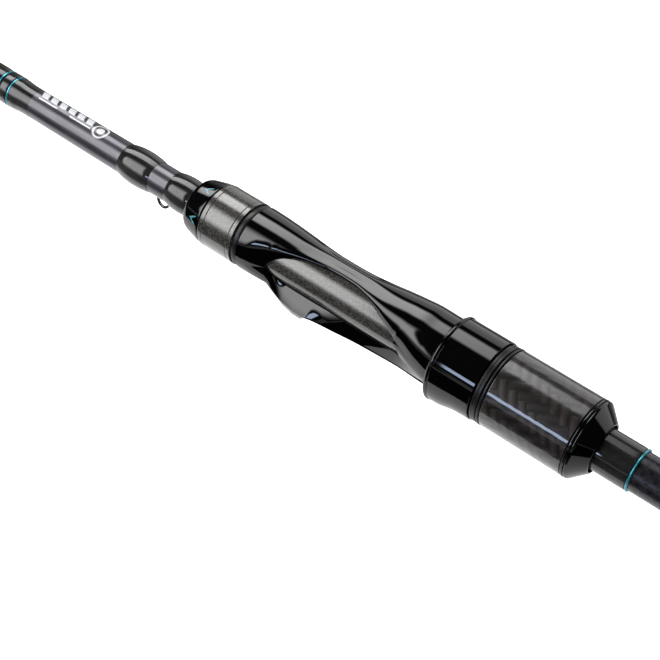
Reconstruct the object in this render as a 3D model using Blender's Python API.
"""Two-piece spinning rod with a screw-locking reel seat.

Metres, +Z up. The rod's axis is the X axis: the butt cap's flat end is at the
origin and the tip points along +X. The reel foot and the guides are on -Z.
"""

import math

import bpy
import bmesh
from mathutils import Matrix, Vector

# ---- driving dimensions ----------------------------------------------------

ROD_LENGTH = 2.100
GAP = 0.0003             # between neighbours that touch
GLUE = 0.00015           # between bonded tubes that share their facets

HOOD_X = 0.330           # rear face of the sliding hood
FERRULE_REAR = 0.980     # open end of the tip section
FERRULE_FRONT = 1.050    # front end of the butt section

HOOD_RADIUS = 0.0132
HOOD_LENGTH = 0.0159
HOOD_WALL = 0.0011
HOOD_POCKET = 0.0152     # half height of the hood below the axis, at its mouth
SLEEVE_RADIUS = 0.01283
FRONT_RADIUS = 0.0110
CORE_RADIUS = 0.0084     # carbon tube that shows in the seat's windows
SADDLE_DROP = 0.0094     # reel foot saddle below the axis
TAIL_WRAP_RADIUS = 0.00693
TAIL_WRAP_X = (0.2806, 0.2985)
CORE_X = (0.3000, 0.4205)
CORE_BORE = 0.0076
BAND_WIDTH = 0.0007      # cyan metal bands on the blank
LABEL_BANDS_X = (0.52980, 0.53485)
KEEPER_X = (0.4575, 0.4637)
KEEPER_RISE = 0.0031     # hook keeper's loop below the blank

THREAD_PITCH = 0.0025
THREAD_RADIUS = 0.0098
THREAD_HEIGHT = 0.00035  # half of crest to root
THREAD_CLEARANCE = 0.00045
THREAD_ROWS_PER_TURN = 4

BODY_REAR = HOOD_X + 0.0065
BODY_FRONT = HOOD_X + 0.0911
FIXED_HOOD_X = HOOD_X + 0.061
FIXED_HOOD_HALF_WIDTH = 0.0125
FIXED_HOOD_DROP = 0.0163
WINDOW_REAR = HOOD_X + 0.0293
WINDOW_FRONT = HOOD_X + 0.0807

SIDES = 20               # facets round a handle piece
CORE_SIDES = 16          # facets round a hidden piece of the seat
THIN_SIDES = 12          # facets round a thin piece

# outer radius of the two blanks along the rod
BUTT_TAPER = [(0.004, 0.00645), (0.300, 0.00640), (0.480, 0.00550), (0.520, 0.00530), (1.050, 0.00340)]
TIP_TAPER = [(0.980, 0.00450), (1.060, 0.00395), (2.090, 0.00090)]
BLANK_WALL = 0.00080
TIP_BORE_DEPTH = 0.900

# x, ring outer diameter, height of the ring's centre above the blank, feet
GUIDES = [
    (0.820, 0.0250, 0.0240, 2),
    (1.095, 0.0160, 0.0155, 2),
    (1.300, 0.0100, 0.0100, 1),
    (1.480, 0.0078, 0.0075, 1),
    (1.645, 0.0070, 0.0064, 1),
    (1.800, 0.0070, 0.0060, 1),
    (1.950, 0.0070, 0.0058, 1),
]
TIP_RING_DIAMETER = 0.0070

MATERIALS = {
    "gloss_black": ((0.012, 0.012, 0.014), 0.12, 0.0),
    "satin_black": ((0.045, 0.045, 0.048), 0.45, 0.0),
    "woven_carbon": ((0.050, 0.042, 0.036), 0.20, 0.1),
    "plain_carbon": ((0.075, 0.072, 0.068), 0.22, 0.1),
    "blank_carbon": ((0.070, 0.070, 0.082), 0.28, 0.1),
    "foam": ((0.020, 0.020, 0.020), 0.90, 0.0),
    "cyan_metal": ((0.110, 0.500, 0.640), 0.30, 0.8),
    "spacer": ((0.300, 0.280, 0.240), 0.80, 0.0),
    "guide_metal": ((0.090, 0.090, 0.095), 0.30, 0.9),
    "ceramic": ((0.030, 0.030, 0.034), 0.10, 0.0),
    "wrap_varnish": ((0.010, 0.010, 0.011), 0.08, 0.0),
}


# ---- helpers ---------------------------------------------------------------

def clear_scene():
    for obj in list(bpy.data.objects):
        bpy.data.objects.remove(obj, do_unlink=True)


def material(slot):
    found = bpy.data.materials.get(slot)
    if found:
        return found
    colour, roughness, metallic = MATERIALS[slot]
    made = bpy.data.materials.new(slot)
    made.use_nodes = True
    shader = made.node_tree.nodes["Principled BSDF"]
    shader.inputs["Base Color"].default_value = (*colour, 1.0)
    shader.inputs["Roughness"].default_value = roughness
    shader.inputs["Metallic"].default_value = metallic
    return made


def interpolate(table, x):
    """Straight-line value of a table of (x, value) at x."""
    if x <= table[0][0]:
        return table[0][1]
    for (x0, v0), (x1, v1) in zip(table, table[1:]):
        if x <= x1:
            return v0 + (v1 - v0) * (x - x0) / (x1 - x0)
    return table[-1][1]


def empty(name, x=0.0, parent=None):
    """An axis marker that carries one body of the rod."""
    marker = bpy.data.objects.new(name, None)
    bpy.context.collection.objects.link(marker)
    marker.location = (x, 0.0, 0.0)
    if parent:
        marker.parent = parent
        marker.location.x -= parent.matrix_world.translation.x
    bpy.context.view_layer.update()
    return marker


def finish_object(name, bm, slot, parent, x_at, sharp=40.0):
    """Turn a bmesh into a named, smooth-shaded object at x_at on the axis."""
    bmesh.ops.remove_doubles(bm, verts=bm.verts, dist=1e-7)
    bmesh.ops.recalc_face_normals(bm, faces=bm.faces)
    mesh = bpy.data.meshes.new(name)
    bm.to_mesh(mesh)
    bm.free()
    mesh.shade_smooth()
    mesh.set_sharp_from_angle(angle=math.radians(sharp))
    obj = bpy.data.objects.new(name, mesh)
    bpy.context.collection.objects.link(obj)
    if slot:
        mesh.materials.append(material(slot))
    if parent:
        obj.parent = parent
        obj.location = (x_at - parent.matrix_world.translation.x, 0.0, 0.0)
    else:
        obj.location = (x_at, 0.0, 0.0)
    bpy.context.view_layer.update()
    return obj


def spin_outline(bm, outline, sides, closed):
    """Spin a chain of (x, radius) points round the X axis."""
    verts = [bm.verts.new((x, 0.0, radius)) for x, radius in outline]
    pairs = list(zip(verts, verts[1:]))
    if closed:
        pairs.append((verts[-1], verts[0]))
    edges = [bm.edges.new(pair) for pair in pairs]
    bmesh.ops.spin(bm, geom=verts + edges, cent=(0, 0, 0), axis=(1, 0, 0),
                   angle=math.tau, steps=sides, use_merge=True)


def turned(name, slot, parent, x_at, outline, sides=SIDES, closed=True):
    """A turned piece. The outline's x counts from x_at."""
    bm = bmesh.new()
    spin_outline(bm, outline, sides, closed)
    return finish_object(name, bm, slot, parent, x_at)


def tube(name, slot, parent, x0, x1, inner, outer, sides=SIDES, edge=0.0):
    """A plain or edge-rounded tube. Radii are numbers or functions of x."""
    inner_at = inner if callable(inner) else lambda x: inner
    outer_at = outer if callable(outer) else lambda x: outer
    outline = [(0.0, inner_at(x0)), (0.0, outer_at(x0) - edge)]
    if edge:
        outline.append((edge, outer_at(x0 + edge)))
        outline.append((x1 - x0 - edge, outer_at(x1 - edge)))
    outline.append((x1 - x0, outer_at(x1) - edge))
    outline.append((x1 - x0, inner_at(x1)))
    return turned(name, slot, parent, x0, outline, sides)


def skin(bm, rings, loop=False, capped=True):
    """Join rings of vertices with quads, closed end to end or capped."""
    made = [[bm.verts.new(point) for point in ring] for ring in rings]
    pairs = list(zip(made, made[1:]))
    if loop:
        pairs.append((made[-1], made[0]))
    for first, second in pairs:
        count = len(first)
        for i in range(count):
            j = (i + 1) % count
            bm.faces.new((first[i], first[j], second[j], second[i]))
    if capped and not loop:
        bm.faces.new(made[0])
        bm.faces.new(made[-1])


def oval_ring(x, top, bottom, sides):
    """A ring of points, round above the axis and oval below it."""
    ring = []
    for i in range(sides):
        angle = math.tau * i / sides
        drop = bottom if math.sin(angle) < 0.0 else top
        ring.append((x, top * math.cos(angle), drop * math.sin(angle)))
    return ring


def combine(target, helper, operation):
    """Add a Boolean modifier whose helper is hidden."""
    helper.hide_render = True
    helper.display_type = "WIRE"
    helper.parent = target.parent
    modifier = target.modifiers.new(operation.lower(), "BOOLEAN")
    modifier.object = helper
    modifier.operation = operation
    modifier.solver = "EXACT"


def helper_object(name, bm, parent):
    """A hidden cutter or added shape, modelled where it stands."""
    return finish_object(name, bm, None, parent, 0.0)


def bar_between(name, parent, start, end, width, thickness):
    """A flat bar whose width lies across the line from start to end."""
    start, end = Vector(start), Vector(end)
    along = (end - start).normalized()
    across = along.cross(Vector((0.0, 1.0, 0.0))).normalized()
    side = across.cross(along).normalized()
    turn = Matrix((along, side, across)).transposed().to_4x4()
    size = Matrix.Diagonal(((end - start).length, width, thickness, 1.0))
    bm = bmesh.new()
    bmesh.ops.create_cube(bm, size=1.0, matrix=Matrix.Translation((start + end) / 2) @ turn @ size)
    return helper_object(name, bm, parent)


# ---- blanks ----------------------------------------------------------------

def butt_radius(x):
    return interpolate(BUTT_TAPER, x)


def tip_radius(x):
    return interpolate(TIP_TAPER, x)


def make_butt_blank(root):
    stations = [x for x, _ in BUTT_TAPER]
    rear = stations[0]
    outer = [(x - rear, butt_radius(x)) for x in stations]
    inner = [(x - rear, butt_radius(x) - BLANK_WALL) for x in reversed(stations)]
    turned("butt_blank", "blank_carbon", root, rear, outer + inner)


def make_tip_blank(tip):
    """A tapered tube whose socket slips over the butt section."""
    rear, shoulder, front = [x for x, _ in TIP_TAPER]
    outer = [(front - rear, 0.0), (front - rear, tip_radius(front)), (shoulder - rear, tip_radius(shoulder)),
             (0.0, tip_radius(rear))]
    socket = [
        (0.0, butt_radius(rear) + GLUE),
        (FERRULE_FRONT + 0.002 - rear, butt_radius(FERRULE_FRONT) + GLUE),
        (shoulder - rear, tip_radius(shoulder) - BLANK_WALL),
        (TIP_BORE_DEPTH, tip_radius(rear + TIP_BORE_DEPTH) - BLANK_WALL),
        (TIP_BORE_DEPTH + 0.002, 0.0),
    ]
    turned("tip_blank", "blank_carbon", tip, rear, outer + socket, closed=False)


# ---- rear grip -------------------------------------------------------------

def make_rear_grip(root):
    blank_bore = BUTT_TAPER[0][1] + GLUE
    socket_end = BUTT_TAPER[0][0] - GAP
    cap = [(0.0, 0.0), (0.0, 0.0125), (0.0012, 0.0141), (0.0110, 0.0146), (0.0150, 0.0140),
           (0.0150, blank_bore), (socket_end, blank_bore), (socket_end, 0.0)]
    turned("butt_cap", "gloss_black", root, 0.0, cap, closed=False)
    tube("butt_ring", "cyan_metal", root, 0.0153, 0.0171, blank_bore, 0.0141, edge=0.0003)
    grip = [(0.0, blank_bore), (0.0, 0.0138), (0.012, 0.0140), (0.040, 0.0131), (0.070, 0.0118),
            (0.092, 0.0112), (0.1026, 0.0116), (0.1046, 0.0112), (0.1046, blank_bore)]
    turned("rear_grip", "foam", root, 0.0174, grip)
    check = [(0.0, blank_bore), (0.0, 0.0112), (0.0015, 0.0114), (0.0060, 0.0092), (0.0066, 0.0080),
             (0.0066, blank_bore)]
    turned("rear_grip_check", "gloss_black", root, 0.1223, check)
    tube("rear_grip_wrap", "wrap_varnish", root, 0.1292, 0.1400, blank_bore, 0.0071, edge=0.0004)


# ---- reel seat: tail, barrel and core --------------------------------------

def thread_offset(x, angle):
    """Height of the right-hand thread's rounded profile at a point."""
    return THREAD_HEIGHT * math.cos(math.tau * x / THREAD_PITCH - angle)


def thread_rings(x0, x1, radius, sides):
    """Rings of a threaded surface, faded to the plain radius at both ends."""
    step = THREAD_PITCH / THREAD_ROWS_PER_TURN
    count = round((x1 - x0) / step)
    rings = []
    for row in range(count + 1):
        x = x0 + (x1 - x0) * row / count
        fade = 0.0 if row in (0, count) else 1.0
        ring = []
        for i in range(sides):
            angle = math.tau * i / sides
            reach = radius + fade * thread_offset(x, angle)
            ring.append((x, reach * math.cos(angle), reach * math.sin(angle)))
        rings.append(ring)
    return rings


def round_ring(x, radius, sides):
    return oval_ring(x, radius, radius, sides)


def make_seat_barrel(root):
    """Tail pipe of the seat, with the male thread."""
    sides = CORE_SIDES
    x0, x1 = 0.3020, 0.3360
    bore = CORE_RADIUS + GLUE
    rings = [round_ring(x0, bore, sides)]
    rings += thread_rings(x0, x1, THREAD_RADIUS, sides)
    rings.append(round_ring(x1, bore, sides))
    bm = bmesh.new()
    skin(bm, rings, loop=True)
    for vert in bm.verts:
        vert.co.x -= x0
    finish_object("seat_barrel", bm, "satin_black", root, x0, sharp=80.0)


def make_seat_core(root):
    bore = BUTT_TAPER[0][1] + GLUE
    rear, front = TAIL_WRAP_X
    tube("seat_tail_wrap", "wrap_varnish", root, rear, front, bore, TAIL_WRAP_RADIUS)
    tube("rear_cyan_ring", "cyan_metal", root, rear - GAP - BAND_WIDTH, rear - GAP, bore, TAIL_WRAP_RADIUS + 0.0001)
    tube("seat_core_tube", "plain_carbon", root, *CORE_X, CORE_BORE, CORE_RADIUS, CORE_SIDES)
    for name, x0, x1 in (("rear_arbor", 0.3050, 0.3300), ("middle_arbor", 0.3900, 0.4200)):
        tube(name, "spacer", root, x0, x1, lambda x: butt_radius(x) + GAP, CORE_BORE - GLUE, CORE_SIDES)


# ---- reel seat: locking nut ------------------------------------------------

def make_nut(nut):
    sides = CORE_SIDES
    core_radius = 0.0120
    sleeve_bore = core_radius + GAP
    x0, thread_x0, thread_x1, x1 = 0.2972, 0.3120, 0.3260, 0.3272
    wide = THREAD_RADIUS + THREAD_CLEARANCE
    relief = wide + 0.0007
    rings = [round_ring(x0, relief, sides), round_ring(x0, core_radius, sides), round_ring(x1, core_radius, sides),
             round_ring(x1, relief, sides)]
    rings += reversed(thread_rings(thread_x0, thread_x1, wide, sides))
    rings.append(round_ring(thread_x0 - 0.0006, relief, sides))
    bm = bmesh.new()
    skin(bm, rings, loop=True)
    for vert in bm.verts:
        vert.co.x -= x0
    finish_object("nut_core", bm, "satin_black", nut, x0, sharp=80.0)

    cone = [(0.0, 0.0075), (0.0, 0.0083), (0.0010, 0.0086), (0.0046, 0.0127), (0.0053, 0.0129),
            (0.0053, 0.0108), (0.0030, 0.0085)]
    turned("nut_cone", "gloss_black", nut, 0.2916, cone)
    tube("nut_trim_rear", "gloss_black", nut, 0.2972, 0.2980, sleeve_bore, SLEEVE_RADIUS + 0.0001)
    tube("nut_sleeve", "woven_carbon", nut, 0.2983, 0.3260, sleeve_bore, SLEEVE_RADIUS)
    tube("nut_trim_front", "gloss_black", nut, 0.3263, 0.3272, sleeve_bore, SLEEVE_RADIUS + 0.0001)
    thrust_bore = THREAD_RADIUS + THREAD_HEIGHT + THREAD_CLEARANCE
    tube("thrust_ring", "satin_black", nut, 0.3275, 0.3297, thrust_bore, 0.0128, edge=0.0002)


# ---- reel seat: sliding hood -----------------------------------------------

def hood_drop(x):
    """Half height of the hood below the axis, x metres from its rear face."""
    return interpolate([(0.003, HOOD_RADIUS), (0.012, HOOD_POCKET)], x)


def make_sliding_hood(hood):
    sides = 24
    flange = 0.0022
    flange_bore = THREAD_RADIUS + THREAD_HEIGHT + 0.0004
    stations = [0.0, 0.003, 0.0075, 0.012, HOOD_LENGTH]
    outer = [oval_ring(x, HOOD_RADIUS, hood_drop(x), sides) for x in stations]
    inner = [oval_ring(x, HOOD_RADIUS - HOOD_WALL, hood_drop(x) - HOOD_WALL, sides)
             for x in reversed(stations[2:])]
    inner.append(oval_ring(flange, HOOD_RADIUS - HOOD_WALL, HOOD_RADIUS - HOOD_WALL, sides))
    inner.append(round_ring(flange, flange_bore, sides))
    inner.append(round_ring(0.0, flange_bore, sides))
    bm = bmesh.new()
    skin(bm, outer + inner, loop=True)
    finish_object("sliding_hood", bm, "gloss_black", hood, HOOD_X)


# ---- reel seat: body -------------------------------------------------------

# distances along the seat count from HOOD_X
BODY_TOP = [(0.0065, 0.0116), (0.020, 0.0117), (0.028, 0.0117), (0.036, 0.0110), (0.044, 0.0101),
            (0.052, 0.0098), (0.066, 0.0098), (0.072, 0.0100), (0.080, 0.0105), (0.0911, 0.0110)]
SADDLE_HALF_WIDTH = [(0.020, 0.0064), (0.036, 0.0067), (0.044, 0.0075), (0.052, 0.0086), (0.061, 0.0100)]
FIXED_HOOD_SCALE = [(0.061, 1.0), (0.067, 0.99), (0.072, 0.90), (0.076, 0.80), (0.080, 0.70), (0.088, 0.60)]


def body_reach(s, angle):
    """Outer radius of the seat body; angle is 0 along +Y and 90 degrees along +Z."""
    top = interpolate(BODY_TOP, s)
    down = -math.sin(angle)
    across = abs(math.cos(angle))
    if down <= 0.0:
        return top
    if s <= FIXED_HOOD_X - HOOD_X:
        half_width = interpolate(SADDLE_HALF_WIDTH, s)
        flank = min(half_width / max(across, 1e-6), 0.0150)
        reach = max(top, flank) if down > 0.5 else top
        return min(reach, SADDLE_DROP / down)
    scale = interpolate(FIXED_HOOD_SCALE, s)
    wide = FIXED_HOOD_HALF_WIDTH * scale
    deep = FIXED_HOOD_DROP * scale
    oval = 1.0 / math.hypot(across / wide, down / deep)
    return max(top, oval)


def make_seat_body(root):
    sides = 28
    mouth = FIXED_HOOD_X - HOOD_X
    stations = [0.0065, 0.020, 0.028, 0.036, 0.044, 0.052, mouth, mouth + GAP, 0.067, 0.072, 0.076, 0.080,
                0.086, 0.0911]
    rings = []
    for s in stations:
        ring = []
        for i in range(sides):
            angle = math.tau * (i + 0.5) / sides
            reach = body_reach(s, angle)
            ring.append((s, reach * math.cos(angle), reach * math.sin(angle)))
        rings.append(ring)
    bm = bmesh.new()
    skin(bm, rings)
    body = finish_object("seat_body", bm, "gloss_black", root, HOOD_X)
    combine(body, body_bore_helper(root), "DIFFERENCE")
    combine(body, foot_pocket_helper(root), "DIFFERENCE")
    combine(body, window_helper(root), "DIFFERENCE")


def body_bore_helper(root):
    bm = bmesh.new()
    rear, front = BODY_REAR - 0.002, BODY_FRONT + 0.002
    radius = CORE_RADIUS + GAP
    spin_outline(bm, [(rear, 0.0), (rear, radius), (front, radius), (front, 0.0)], CORE_SIDES, False)
    return helper_object("seat_body_bore", bm, root)


def prism(bm, outline, axis, low, high):
    """Extrude an outline of pairs along Y or X between low and high."""
    rings = []
    for level in (low, high):
        if axis == "X":
            rings.append([(level, a, b) for a, b in outline])
        else:
            rings.append([(a, level, b) for a, b in outline])
    skin(bm, rings)


def foot_pocket_helper(root):
    """The space under the fixed hood that takes the reel foot's front end."""
    wall = 0.0013
    wide = FIXED_HOOD_HALF_WIDTH - wall
    deep = FIXED_HOOD_DROP - wall
    limit = math.acos(SADDLE_DROP / deep)
    outline = []
    for i in range(9):
        angle = limit * (i / 4.0 - 1.0)
        outline.append((wide * math.sin(angle), -deep * math.cos(angle)))
    bm = bmesh.new()
    prism(bm, outline, "X", FIXED_HOOD_X - 0.001, FIXED_HOOD_X + 0.0085)
    return helper_object("foot_pocket", bm, root)


def window_helper(root):
    """The almond-shaped window, cut straight through both sides of the shell."""
    rear_z, front_z = -0.0046, -0.0006
    rise, sag = 0.0102, 0.0028
    count = 8
    upper, lower = [], []
    for i in range(count + 1):
        t = i / count
        x = WINDOW_REAR + (WINDOW_FRONT - WINDOW_REAR) * t
        line = rear_z + (front_z - rear_z) * t
        upper.append((x, line + rise * math.sin(math.pi * t) ** 0.6))
        lower.append((x, line - sag * math.sin(math.pi * t) ** 0.6))
    outline = upper + lower[-2:0:-1]
    bm = bmesh.new()
    prism(bm, outline, "Y", -0.020, 0.020)
    return helper_object("seat_window", bm, root)


# ---- front of the handle ---------------------------------------------------

def make_front_sleeve(root):
    tube("seat_o_ring", "satin_black", root, 0.4214, 0.4236, CORE_RADIUS + GAP, 0.01115, edge=0.0003)
    arbor_radius = 0.0102
    tube("front_arbor", "spacer", root, 0.4240, 0.4370, lambda x: butt_radius(x) + GAP, arbor_radius)
    tube("front_sleeve", "plain_carbon", root, 0.4239, 0.4372, arbor_radius + GLUE, FRONT_RADIUS)
    bore = butt_radius(0.4375) + GAP
    check = [(0.0, bore), (0.0, 0.0109), (0.0030, 0.0103), (0.0066, 0.0094), (0.0078, 0.0088),
             (0.0084, 0.0078), (0.0084, bore)]
    turned("winding_check", "satin_black", root, 0.4375, check)


def swelling(length, bore, edge, crown):
    """Outline of a varnished wrap, fat in the middle and thin at its ends."""
    outline = [(0.0, bore)]
    for i in range(4):
        t = i / 3.0
        outline.append((length * t, edge + (crown - edge) * math.sin(math.pi * t) ** 0.5))
    outline.append((length, bore))
    return outline


def make_front_wraps(root):
    for name, x0, x1, crown in (("foregrip_wrap_rear", 0.4462, 0.4568, 0.0064),
                                ("foregrip_wrap_front", 0.4643, 0.4780, 0.0065)):
        bore = butt_radius(x0) + GLUE
        turned(name, "wrap_varnish", root, x0, swelling(x1 - x0, bore, bore + 0.0003, crown))
    rear, front = LABEL_BANDS_X
    for name, x0, x1, crown in (("label_wrap", rear + BAND_WIDTH + GAP, front - GAP, 0.00585),
                                ("label_wrap_front", front + BAND_WIDTH + GAP, 0.5500, 0.00590)):
        bore = butt_radius(x0) + GLUE
        turned(name, "wrap_varnish", root, x0, swelling(x1 - x0, bore, crown - 0.0002, crown))
    for name, x0 in (("label_band_rear", rear), ("label_band_front", front)):
        bore = butt_radius(x0) + GLUE
        tube(name, "cyan_metal", root, x0, x0 + BAND_WIDTH, bore, bore + 0.0004)


def make_hook_keeper(root):
    """A wire loop under the blank for parking a hook."""
    rear, front = KEEPER_X
    wire = 0.0005
    middle, half = (rear + front) / 2, (front - rear) / 2 - wire
    base_z = -butt_radius(rear) - GAP - wire
    sides = 6
    rings = []
    count = 10
    for i in range(count + 1):
        angle = math.pi * i / count
        centre = Vector((middle - half * math.cos(angle), 0.0, base_z - KEEPER_RISE * math.sin(angle)))
        along = Vector((half * math.sin(angle), 0.0, -KEEPER_RISE * math.cos(angle))).normalized()
        across = along.cross(Vector((0.0, 1.0, 0.0)))
        ring = []
        for k in range(sides):
            turn = math.tau * k / sides
            offset = across * math.cos(turn) + Vector((0.0, 1.0, 0.0)) * math.sin(turn)
            ring.append(centre + offset * wire - Vector((rear, 0.0, 0.0)))
        rings.append(ring)
    bm = bmesh.new()
    skin(bm, rings)
    finish_object("hook_keeper", bm, "guide_metal", root, rear)


# ---- guides ----------------------------------------------------------------

WRAP_BUILD = 0.0013      # wrap and varnish over a guide's foot
FOOT_RISE = 0.0002       # foot's underside above the blank


def ring_at(bm, centre, radius, half_width, half_thickness, sides, corners):
    """A ring round the X axis with an oval section, moved to its centre."""
    outline = []
    for k in range(corners):
        turn = math.tau * (k + 0.5) / corners
        outline.append((half_width * math.cos(turn), radius + half_thickness * math.sin(turn)))
    spin_outline(bm, outline, sides, True)
    bmesh.ops.translate(bm, verts=bm.verts, vec=centre)


def make_guide(index, body, x, diameter, height, feet):
    """A frame with legs and feet, its ceramic ring, and a wrap on each foot."""
    name = f"guide_{index}"
    blank = butt_radius(x) if x < FERRULE_REAR else tip_radius(x)
    frame_half = max(0.00055, diameter * 0.035)
    frame_radius = diameter / 2 - frame_half
    centre_z = -(blank + height)
    foot_length = 0.010 + 0.25 * diameter
    foot_half = min(0.0010, blank * 0.3)
    foot_thick = 0.0005
    foot_z = -(blank + FOOT_RISE + foot_thick / 2)
    ring_x = 0.0 if feet == 2 else foot_length * 0.5 + height * 0.45
    bm = bmesh.new()
    ring_at(bm, Vector((ring_x, 0.0, centre_z)), frame_radius, frame_half * 1.3, frame_half, 16, 5)
    frame = finish_object(f"{name}_frame", bm, "guide_metal", body, x)

    spread = frame_radius * 0.62
    grip_z = centre_z + frame_radius * 0.78
    reach = height * 0.75 + 0.002
    leg_width = foot_half * 0.85
    directions = (-1, 1) if feet == 2 else (-1,)
    for way in directions:
        foot_x = ring_x + way * reach
        foot_end = foot_x + way * foot_length
        tag = "rear" if way < 0 else "front"
        foot = bar_between(f"{name}_{tag}_foot", body, (x + foot_x, 0, foot_z), (x + foot_end, 0, foot_z),
                           2 * foot_half, foot_thick)
        combine(frame, foot, "UNION")
        for side in (-1, 1):
            foot_y = side * foot_half * 0.51
            leg = bar_between(f"{name}_{tag}_leg_{side}", body,
                              (x + foot_x + way * 0.0008, foot_y, foot_z - foot_thick * 0.3),
                              (x + ring_x + way * frame_half * 0.6, side * spread, grip_z), leg_width, foot_thick * 1.2)
            combine(frame, leg, "UNION")
        wrap_x0, wrap_x1 = sorted((foot_x + way * 0.0015, foot_end + way * 0.003))
        make_guide_wrap(f"{name}_{tag}_wrap", body, x, wrap_x0, wrap_x1, foot_half, foot_thick)

    ceramic = bmesh.new()
    insert_half = frame_half * 0.9
    ring_at(ceramic, Vector((ring_x, 0.0, centre_z)), frame_radius - frame_half - GLUE - insert_half,
            frame_half * 1.5, insert_half, 16, 4)
    finish_object(f"{name}_ring", ceramic, "ceramic", body, x)


def make_guide_wrap(name, body, x, x0, x1, foot_half, foot_thick):
    """A varnished wrap with a slot that the guide's foot lies in."""
    along = butt_radius if x < FERRULE_REAR else tip_radius
    bore = along(x + x0) + GLUE
    crown = bore + WRAP_BUILD
    bm = bmesh.new()
    spin_outline(bm, swelling(x1 - x0, bore, bore + (crown - bore) * 0.45, crown), THIN_SIDES, True)
    wrap = finish_object(name, bm, "wrap_varnish", body, x + x0)
    top = foot_thick - along(x)
    bottom = -(along(x) + FOOT_RISE + foot_thick + GLUE)
    slot = bmesh.new()
    middle = Vector((x + (x0 + x1) / 2, 0.0, (top + bottom) / 2))
    length = x1 - x0 - 0.005
    size = Matrix.Diagonal((length + 0.010, 2 * (foot_half + GLUE), top - bottom, 1.0))
    bmesh.ops.create_cube(slot, size=1.0, matrix=Matrix.Translation(middle) @ size)
    combine(wrap, helper_object(f"{name}_slot", slot, body), "DIFFERENCE")


def make_tip_top(tip):
    """The last guide: a tube on the blank's end, with a ring in front of it."""
    x0, x1 = 2.080, 2.0925
    bore = tip_radius(x0) + GLUE
    wall = 0.0004
    ring_radius = TIP_RING_DIAMETER / 2 - 0.0006
    centre = Vector((ROD_LENGTH - 0.0008 - x0, 0.0, -ring_radius - 0.0002))
    length = x1 - x0
    blind = TIP_TAPER[-1][0] + GAP - x0
    sleeve = [(length, 0.0), (length, bore + wall), (0.0, bore + wall), (0.0, bore), (blind, bore), (blind, 0.0)]
    frame = turned("tip_top_frame", "guide_metal", tip, x0, sleeve, THIN_SIDES, closed=False)
    bm = bmesh.new()
    ring_at(bm, centre + Vector((x0, 0, 0)), ring_radius, 0.0008, 0.0006, 16, 5)
    combine(frame, helper_object("tip_top_rim", bm, tip), "UNION")
    for side in (-1, 1):
        leg = bar_between(f"tip_top_leg_{side}", tip, (x1 - 0.0015, side * 0.0006, 0.0),
                          (x0 + centre.x, side * ring_radius * 0.86, centre.z + ring_radius * 0.5), 0.0010, 0.0008)
        combine(frame, leg, "UNION")
    ceramic = bmesh.new()
    ring_at(ceramic, centre, ring_radius - 0.0006 - GLUE - 0.00045, 0.0009, 0.00045, 16, 4)
    finish_object("tip_top_ring", ceramic, "ceramic", tip, x0)
    bore = tip_radius(2.070) + GLUE
    turned("tip_top_wrap", "wrap_varnish", tip, 2.070,
           swelling(0.0095, bore, bore + 0.0003, bore + 0.0006), THIN_SIDES)


def make_ferrule_wraps(root, tip):
    x0, x1 = FERRULE_REAR - 0.016, FERRULE_REAR - 0.0015
    bore = butt_radius(x0) + GLUE
    turned("ferrule_wrap_male", "wrap_varnish", root, x0, swelling(x1 - x0, bore, bore + 0.0002, bore + 0.0005),
           THIN_SIDES)
    bore = tip_radius(FERRULE_REAR) + GLUE
    turned("ferrule_wrap_female", "wrap_varnish", tip, FERRULE_REAR + 0.0005,
           swelling(0.0240, bore, bore + 0.0002, bore + 0.0006), THIN_SIDES)


# ---- assembly --------------------------------------------------------------

def main():
    clear_scene()
    root = empty("rod_axis")
    hood = empty("hood_axis", HOOD_X, root)
    nut = empty("nut_axis", HOOD_X, hood)
    tip = empty("tip_axis", FERRULE_REAR, root)
    make_butt_blank(root)
    make_rear_grip(root)
    make_seat_core(root)
    make_seat_barrel(root)
    make_nut(nut)
    make_sliding_hood(hood)
    make_seat_body(root)
    make_front_sleeve(root)
    make_front_wraps(root)
    make_hook_keeper(root)
    make_tip_blank(tip)
    make_ferrule_wraps(root, tip)
    for index, (x, diameter, height, feet) in enumerate(GUIDES, start=1):
        body = root if x < FERRULE_REAR else tip
        make_guide(index, body, x, diameter, height, feet)
    make_tip_top(tip)


main()
